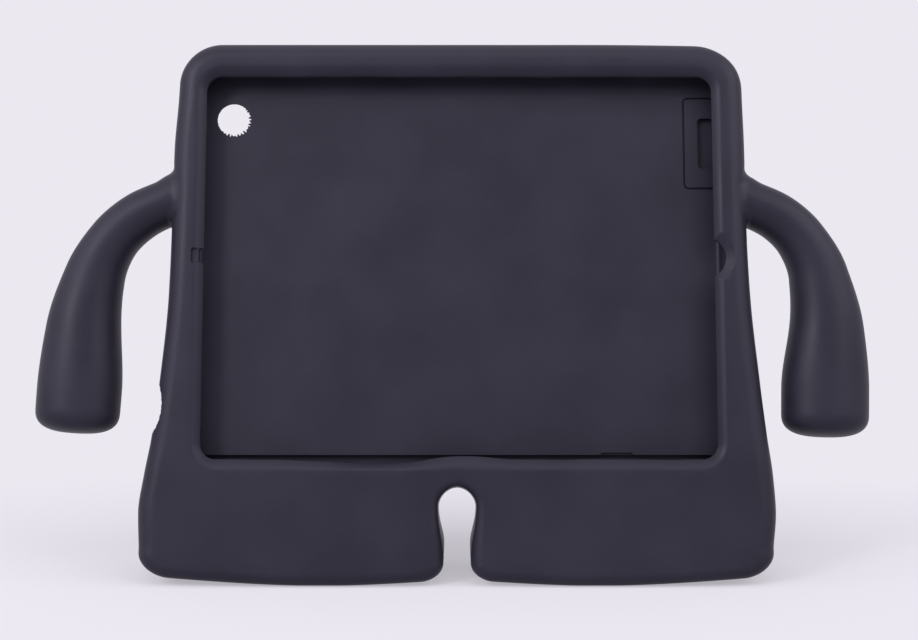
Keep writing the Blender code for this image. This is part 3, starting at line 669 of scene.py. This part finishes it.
def combine(body, steps):
    """Apply a list of Boolean steps to the body and drop the helper solids."""
    for operation, item in steps:
        step = body.modifiers.new(item.name, "BOOLEAN")
        step.operation = operation
        step.solver = "EXACT"
        step.object = item
    bpy.context.view_layer.update()
    graph = bpy.context.evaluated_depsgraph_get()
    done = bpy.data.meshes.new_from_object(body.evaluated_get(graph))
    body.modifiers.clear()
    body.data = done
    for _, item in steps:
        bpy.data.objects.remove(item, do_unlink=True)


pad, channel = speaker_pad()
combine(case, [("DIFFERENCE", item) for item in floor_cutters() + lip_cutters() + port_cutters()]
        + [("UNION", pad), ("DIFFERENCE", channel)])


# Arms
# Two short arms grow out of the rim's sides at shoulder height, curve down and
# end in blunt round hands. They are moulded with the body and serve as grips.

SHOULDER_UP = 34.7
SHOULDER_V = MIDDLE_V + SHOULDER_UP
# Rows of out from the tablet space, down from the shoulder, half width, half depth
# and depth of the middle.
ARM_RIGHT = ((3.7, 1.0, 14.5, 12.0, 14.6), (10.4, 2.6, 12.2, 12.0, 14.6),
             (16.0, 4.7, 10.8, 12.0, 14.6), (27.0, 10.1, 11.1, 12.2, 14.9),
             (37.8, 20.4, 11.6, 13.0, 15.4), (45.8, 37.4, 13.5, 14.0, 16.2),
             (49.1, 62.4, 17.0, 15.6, 17.2), (47.9, 90.2, 19.9, 16.8, 17.8),
             (47.2, 112.4, 19.8, 16.8, 17.8))
ARM_LEFT = ((3.7, 0.6, 14.8, 12.0, 14.6), (10.4, 1.9, 12.4, 12.0, 14.6),
            (16.0, 4.1, 10.9, 12.0, 14.6), (27.3, 9.6, 11.3, 12.2, 14.9),
            (39.4, 20.6, 11.8, 13.0, 15.4), (48.0, 37.4, 13.8, 14.0, 16.2),
            (52.8, 62.2, 17.1, 15.6, 17.2), (54.1, 90.2, 19.2, 16.8, 17.8),
            (55.1, 110.6, 19.0, 16.6, 17.8))
ARM_SQUARE = 2.05
HAND_SQUARE = 2.8
HAND_ROUND = 11.0
HAND_SHUT = 0.9995
HAND_RINGS = 20
ARM_RINGS = 90
ARM_AROUND = 80
SEAM_NEAR = 0.001
FILLET_REACH = 4.5
FILLET_CORE = 0.3
FILLET_PULL = 0.6
FILLET_ROUNDS = 24


def arm_path(rows):
    """Smooth path through rows of out, down, half width, half depth and centre depth.

    Towards the hand's end the section shrinks as a superellipse.
    """
    table = np.asarray(rows, float)
    chord = np.linalg.norm(np.diff(table[:, :2], axis=0), axis=1)
    reach = np.concatenate(((0.0,), np.cumsum(chord)))
    bend = np.linspace(0.0, math.pi / 2.0, HAND_RINGS)
    to_end = np.concatenate((np.linspace(reach[-1], HAND_ROUND, ARM_RINGS)[:-1],
                             HAND_ROUND * (1.0 - np.sin(bend))))
    along = reach[-1] - to_end
    path = np.column_stack([smooth_table(np.column_stack((reach, table[:, c])), along)
                            for c in range(table.shape[1])])
    close = np.clip(1.0 - to_end / HAND_ROUND, 0.0, HAND_SHUT)
    path[:, 2:4] *= ((1.0 - close ** HAND_SQUARE) ** (1.0 / HAND_SQUARE))[:, None]
    path[:, 0] += SPACE_X
    path[:, 1] = SHOULDER_V - path[:, 1]
    return path, along


def build_arm(name, rows, sign):
    """A soft square section, a superellipse, carried along the arm's path."""
    path, along = arm_path(rows)
    tangent = np.gradient(path[:, :2], along, axis=0)
    tangent /= np.linalg.norm(tangent, axis=1)[:, None]
    angle = np.linspace(0.0, 2.0 * math.pi, ARM_AROUND, endpoint=False)
    power = 2.0 / ARM_SQUARE
    cos_a = np.sign(np.cos(angle)) * np.abs(np.cos(angle)) ** power
    sin_a = np.sign(np.sin(angle)) * np.abs(np.sin(angle)) ** power
    out, up, half, deep, middle = [c[:, None] for c in path.T]
    x = sign * (out - tangent[:, 1:] * half * cos_a)
    v = up + tangent[:, :1] * half * cos_a
    w = middle + deep * sin_a
    points = np.stack((x, v, w), axis=-1).reshape(-1, 3)
    last = len(points) - ARM_AROUND
    ends = [list(range(ARM_AROUND)), list(range(last, last + ARM_AROUND))]
    return solid(name, points, ring_quads(len(path), ARM_AROUND) + ends)


def coordinates(mesh):
    """Vertex positions of a mesh as an array."""
    co = np.empty(len(mesh.vertices) * 3)
    mesh.vertices.foreach_get("co", co)
    return co.reshape(-1, 3)


def soften(mesh, seam):
    """Round the crease along a seam: each near point moves towards the mean of its neighbours."""
    co = coordinates(mesh)
    near = gap_to(seam, co)
    pull = smoothstep(FILLET_REACH, FILLET_REACH * FILLET_CORE, near)[:, None] * FILLET_PULL
    edges = np.empty(len(mesh.edges) * 2, int)
    mesh.edges.foreach_get("vertices", edges)
    a, b = edges.reshape(-1, 2).T
    count = np.bincount(edges, minlength=len(co))[:, None]
    for _ in range(FILLET_ROUNDS):
        total = np.zeros_like(co)
        np.add.at(total, a, co[b])
        np.add.at(total, b, co[a])
        co += (total / count - co) * pull
    mesh.vertices.foreach_set("co", co.ravel())
    mesh.update()


arms = [build_arm("arm_right", ARM_RIGHT, 1), build_arm("arm_left", ARM_LEFT, -1)]
before = np.vstack([coordinates(item.data) for item in [case] + arms])
combine(case, [("UNION", arm) for arm in arms])
joined = coordinates(case.data)
soften(case.data, joined[gap_to(before, joined) > SEAM_NEAR])


# Standing on the table
# The case leans back a little on its feet, and the soft soles settle level on
# the table top.

LEAN_DEG = 12.0
SOLE_BLEND = 40.0
MM = 0.001


def stand_up(item):
    """Turn the case about x by the lean, less at the soles, and set it in the CAD box."""
    x, w, v = coordinates(item.data).T
    lean = math.radians(LEAN_DEG)
    blend = smoothstep(0.0, SOLE_BLEND, v)
    y = v * math.sin(lean) + w * math.cos(lean)
    z = v * math.cos(lean) - w * math.sin(lean) * blend
    out = np.column_stack((x, y, z)) * MM
    target = (CAD_LOW + CAD_HIGH) / 2.0
    out += target - (out.min(axis=0) + out.max(axis=0)) / 2.0
    size = (CAD_HIGH - CAD_LOW) / (out.max(axis=0) - out.min(axis=0))
    out = target + (out - target) * np.minimum(size, 1.0)
    out[:, 2] -= out[:, 2].min() - CAD_LOW[2]
    item.data.vertices.foreach_set("co", out.ravel())
    item.data.update()


stand_up(case)


# Foam skin
# Closed-cell foam, black with a violet cast, with the dull satin skin that the
# mould leaves: faint blotches, a very fine grain and a few shallow pits.

FOAM_COLOUR = (0.0170, 0.0160, 0.0252, 1.0)
FOAM_DARK = (0.0136, 0.0128, 0.0204, 1.0)
FOAM_ROUGH = (0.39, 0.51)
FOAM_SHEEN = 0.165
SHEEN_TINT = (0.90, 0.86, 1.0, 1.0)
BLOTCH_SCALE = 26.0
BLOTCH_TINT = (0.36, 0.64)
BLOTCH_SHINE = (0.3, 0.7)
GRAIN_SCALE = 2100.0
GRAIN_HIGH = 0.35
CELL_SCALE = 420.0
CELL_HIGH = 0.5
PIT_SCALE = 95.0
PIT_WIDE = 0.07
PIT_HIGH = 0.5
SKIN_BUMP = 0.35
SKIN_HIGH = 0.00012
SHARP_DEG = 38.0


def add_socket(group, name, direction, kind, value=None):
    """Named socket on a node group."""
    socket = group.interface.new_socket(name=name, in_out=direction, socket_type=kind)
    if value is not None:
        socket.default_value = value
    return socket


def map_range(nodes, links, source, low, high, to_low, to_high):
    """Straight change of range, held at its ends."""
    node = nodes.new("ShaderNodeMapRange")
    for name, value in (("From Min", low), ("From Max", high), ("To Min", to_low), ("To Max", to_high)):
        node.inputs[name].default_value = value
    links.new(source, node.inputs["Value"])
    return node.outputs["Result"]


def weighted_sum(nodes, links, parts):
    """Sum of values, each times its weight."""
    total = None
    for source, weight in parts:
        node = nodes.new("ShaderNodeMath")
        node.operation = "MULTIPLY_ADD"
        node.inputs[1].default_value = weight
        links.new(source, node.inputs[0])
        if total is None:
            node.inputs[2].default_value = 0.0
        else:
            links.new(total, node.inputs[2])
        total = node.outputs["Value"]
    return total


def foam_skin_group():
    """Blotches, grain and pits of moulded foam, from a position in metres."""
    group = bpy.data.node_groups.new("foam_skin", "ShaderNodeTree")
    add_socket(group, "Position", "INPUT", "NodeSocketVector")
    add_socket(group, "Light Colour", "INPUT", "NodeSocketColor", FOAM_COLOUR)
    add_socket(group, "Dark Colour", "INPUT", "NodeSocketColor", FOAM_DARK)
    add_socket(group, "Blotch Scale", "INPUT", "NodeSocketFloat", BLOTCH_SCALE)
    add_socket(group, "Grain Scale", "INPUT", "NodeSocketFloat", GRAIN_SCALE)
    add_socket(group, "Colour", "OUTPUT", "NodeSocketColor")
    add_socket(group, "Roughness", "OUTPUT", "NodeSocketFloat")
    add_socket(group, "Height", "OUTPUT", "NodeSocketFloat")
    nodes, links = group.nodes, group.links
    start, end = nodes.new("NodeGroupInput"), nodes.new("NodeGroupOutput")
    blotch, grain, cells = [nodes.new("ShaderNodeTexNoise") for _ in range(3)]
    pits = nodes.new("ShaderNodeTexVoronoi")
    blotch.inputs["Detail"].default_value = 4.0
    blotch.inputs["Roughness"].default_value = 0.55
    grain.inputs["Detail"].default_value = 2.0
    cells.inputs["Scale"].default_value = CELL_SCALE
    cells.inputs["Detail"].default_value = 3.0
    pits.inputs["Scale"].default_value = PIT_SCALE
    for node in (blotch, grain, cells, pits):
        links.new(start.outputs["Position"], node.inputs["Vector"])
    links.new(start.outputs["Blotch Scale"], blotch.inputs["Scale"])
    links.new(start.outputs["Grain Scale"], grain.inputs["Scale"])
    tint = nodes.new("ShaderNodeMix")
    tint.data_type = "RGBA"
    patchy = map_range(nodes, links, blotch.outputs["Fac"], *BLOTCH_TINT, 0.0, 1.0)
    links.new(patchy, tint.inputs[0])
    links.new(start.outputs["Dark Colour"], tint.inputs[6])
    links.new(start.outputs["Light Colour"], tint.inputs[7])
    links.new(tint.outputs[2], end.inputs["Colour"])
    rough = map_range(nodes, links, blotch.outputs["Fac"], *BLOTCH_SHINE, *FOAM_ROUGH)
    links.new(rough, end.inputs["Roughness"])
    pit = map_range(nodes, links, pits.outputs["Distance"], 0.0, PIT_WIDE, -1.0, 0.0)
    parts = ((grain.outputs["Fac"], GRAIN_HIGH), (cells.outputs["Fac"], CELL_HIGH), (pit, PIT_HIGH))
    height = weighted_sum(nodes, links, parts)
    links.new(height, end.inputs["Height"])
    return group


def foam_material():
    """Dull satin foam with the skin group for its colour, roughness and bump."""
    material = bpy.data.materials.new("moulded_foam")
    material.use_nodes = True
    nodes, links = material.node_tree.nodes, material.node_tree.links
    shader = nodes["Principled BSDF"]
    shader.inputs["Specular IOR Level"].default_value = FOAM_SHEEN
    shader.inputs["Specular Tint"].default_value = SHEEN_TINT
    skin = nodes.new("ShaderNodeGroup")
    skin.node_tree = foam_skin_group()
    place = nodes.new("ShaderNodeTexCoord")
    bump = nodes.new("ShaderNodeBump")
    bump.inputs["Strength"].default_value = SKIN_BUMP
    bump.inputs["Distance"].default_value = SKIN_HIGH
    links.new(place.outputs["Object"], skin.inputs["Position"])
    links.new(skin.outputs["Colour"], shader.inputs["Base Color"])
    links.new(skin.outputs["Roughness"], shader.inputs["Roughness"])
    links.new(skin.outputs["Height"], bump.inputs["Height"])
    links.new(bump.outputs["Normal"], shader.inputs["Normal"])
    return material


case.data.materials.clear()
case.data.materials.append(foam_material())
case.data.polygons.foreach_set("use_smooth", [True] * len(case.data.polygons))
case.data.set_sharp_from_angle(angle=math.radians(SHARP_DEG))
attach(case, "root")
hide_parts("case_body")


# Studio
# A white table top that fades into a white backdrop, six soft boxes above, behind,
# in front and at both sides, and a camera where the photograph was taken from.

BACKDROP = (0.838, 0.807, 0.877, 1.0)
TABLE_TOP = (0.55, 0.532, 0.581, 1.0)
FILL_LIGHT = 0.67
TABLE_GLOW = 0.5
PAPER_ROUGH = 0.95
TABLE_SIZE = 14.0
FADE_SQUEEZE = (0.45, 1.0, 1.0)
FADE_NEAR = 0.06
FADE_FAR = 0.24
FADE_LEAST = 0.5
CAMERA_AT = (0.0029, -0.7091, 0.1782)
CAMERA_TILT = 5.0
CAMERA_LENS = 60.5
CAMERA_FILM = 36.0
# Rows of name, place, the point it faces, width and height, and watts.
LIGHTS = (("key_above", (0.0, -1.0, 1.55), (0.0, 0.0, 0.1), (1.5, 0.9), 10.0),
          ("top_behind", (0.0, 0.15, 1.7), (0.0, 0.0, 0.1), (1.5, 0.9), 3.5),
          ("side_left", (-1.15, -0.35, 0.95), (0.0, 0.0, 0.15), (0.7, 0.9), 5.0),
          ("side_right", (1.15, -0.35, 0.95), (0.0, 0.0, 0.15), (0.7, 0.9), 7.0),
          ("front_left", (-0.95, -1.0, 0.85), (0.0, 0.0, 0.15), (0.4, 0.6), 14.0),
          ("front_right", (0.95, -1.0, 0.85), (0.0, 0.0, 0.15), (0.4, 0.6), 5.0))


def seen_plainly(nodes, links):
    """1 for camera, mirror and see-through rays, 0 for the other rays, which carry light."""
    path = nodes.new("ShaderNodeLightPath")
    total = None
    for name in ("Is Camera Ray", "Is Glossy Ray", "Is Transmission Ray"):
        node = nodes.new("ShaderNodeMath")
        node.operation = "MAXIMUM"
        node.inputs[1].default_value = 0.0
        links.new(path.outputs[name], node.inputs[0])
        if total is not None:
            links.new(total, node.inputs[1])
        total = node.outputs["Value"]
    return total


def table_material():
    """White paper that turns into the plain backdrop colour further out.

    The rays that only carry light see TABLE_GLOW of that change.
    """
    paper = bpy.data.materials.new("white_paper")
    paper.use_nodes = True
    nodes, links = paper.node_tree.nodes, paper.node_tree.links
    shader = nodes["Principled BSDF"]
    shader.inputs["Base Color"].default_value = TABLE_TOP
    shader.inputs["Roughness"].default_value = PAPER_ROUGH
    shader.inputs["Specular IOR Level"].default_value = 0.0
    far = nodes.new("ShaderNodeEmission")
    far.inputs["Color"].default_value = BACKDROP
    place, squeeze, length = [nodes.new(kind) for kind in (
        "ShaderNodeTexCoord", "ShaderNodeVectorMath", "ShaderNodeVectorMath")]
    squeeze.operation = "MULTIPLY"
    squeeze.inputs[1].default_value = FADE_SQUEEZE
    length.operation = "LENGTH"
    links.new(place.outputs["Object"], squeeze.inputs[0])
    links.new(squeeze.outputs["Vector"], length.inputs[0])
    away = map_range(nodes, links, length.outputs["Value"], FADE_NEAR, FADE_FAR, FADE_LEAST, 1.0)
    both = nodes.new("ShaderNodeMath")
    both.operation = "MULTIPLY"
    links.new(away, both.inputs[0])
    seen = map_range(nodes, links, seen_plainly(nodes, links), 0.0, 1.0, TABLE_GLOW, 1.0)
    links.new(seen, both.inputs[1])
    mix = nodes.new("ShaderNodeMixShader")
    links.new(both.outputs["Value"], mix.inputs["Fac"])
    links.new(shader.outputs["BSDF"], mix.inputs[1])
    links.new(far.outputs["Emission"], mix.inputs[2])
    links.new(mix.outputs["Shader"], nodes["Material Output"].inputs["Surface"])
    return paper


def build_table():
    """Plain square sheet under the soles."""
    half = TABLE_SIZE / 2.0
    mesh = bpy.data.meshes.new("table_top")
    mesh.from_pydata([(-half, -half, 0.0), (half, -half, 0.0), (half, half, 0.0), (-half, half, 0.0)],
                     [], [(0, 1, 2, 3)])
    table = bpy.data.objects.new("table_top", mesh)
    bpy.context.scene.collection.objects.link(table)
    mesh.materials.append(table_material())
    return table


def build_world():
    """Backdrop colour for what the camera sees and what reflects, FILL_LIGHT of it for the rest."""
    world = bpy.data.worlds.new("studio")
    bpy.context.scene.world = world
    world.use_nodes = True
    nodes, links = world.node_tree.nodes, world.node_tree.links
    back = nodes["Background"]
    back.inputs["Color"].default_value = BACKDROP
    strength = map_range(nodes, links, seen_plainly(nodes, links), 0.0, 1.0, FILL_LIGHT, 1.0)
    links.new(strength, back.inputs["Strength"])


def build_light(name, place, aim, size, power):
    """Rectangular soft box turned towards a point."""
    lamp = bpy.data.lights.new(name, "AREA")
    lamp.shape = "RECTANGLE"
    lamp.size, lamp.size_y = size
    lamp.energy = power
    item = bpy.data.objects.new(name, lamp)
    bpy.context.scene.collection.objects.link(item)
    item.location = place
    item.rotation_euler = (Vector(aim) - Vector(place)).to_track_quat("-Z", "Y").to_euler()


def build_camera():
    """Camera 670 mm in front of the case, level with its upper half and tilted down."""
    lens = bpy.data.cameras.new("photo_view")
    lens.sensor_width = CAMERA_FILM
    lens.lens = CAMERA_LENS
    item = bpy.data.objects.new("photo_view", lens)
    bpy.context.scene.collection.objects.link(item)
    item.location = CAMERA_AT
    item.rotation_euler = (math.radians(90.0 - CAMERA_TILT), 0.0, 0.0)
    bpy.context.scene.camera = item


build_table()
build_world()
for light in LIGHTS:
    build_light(*light)
build_camera()
bpy.context.scene.view_settings.view_transform = "Standard"
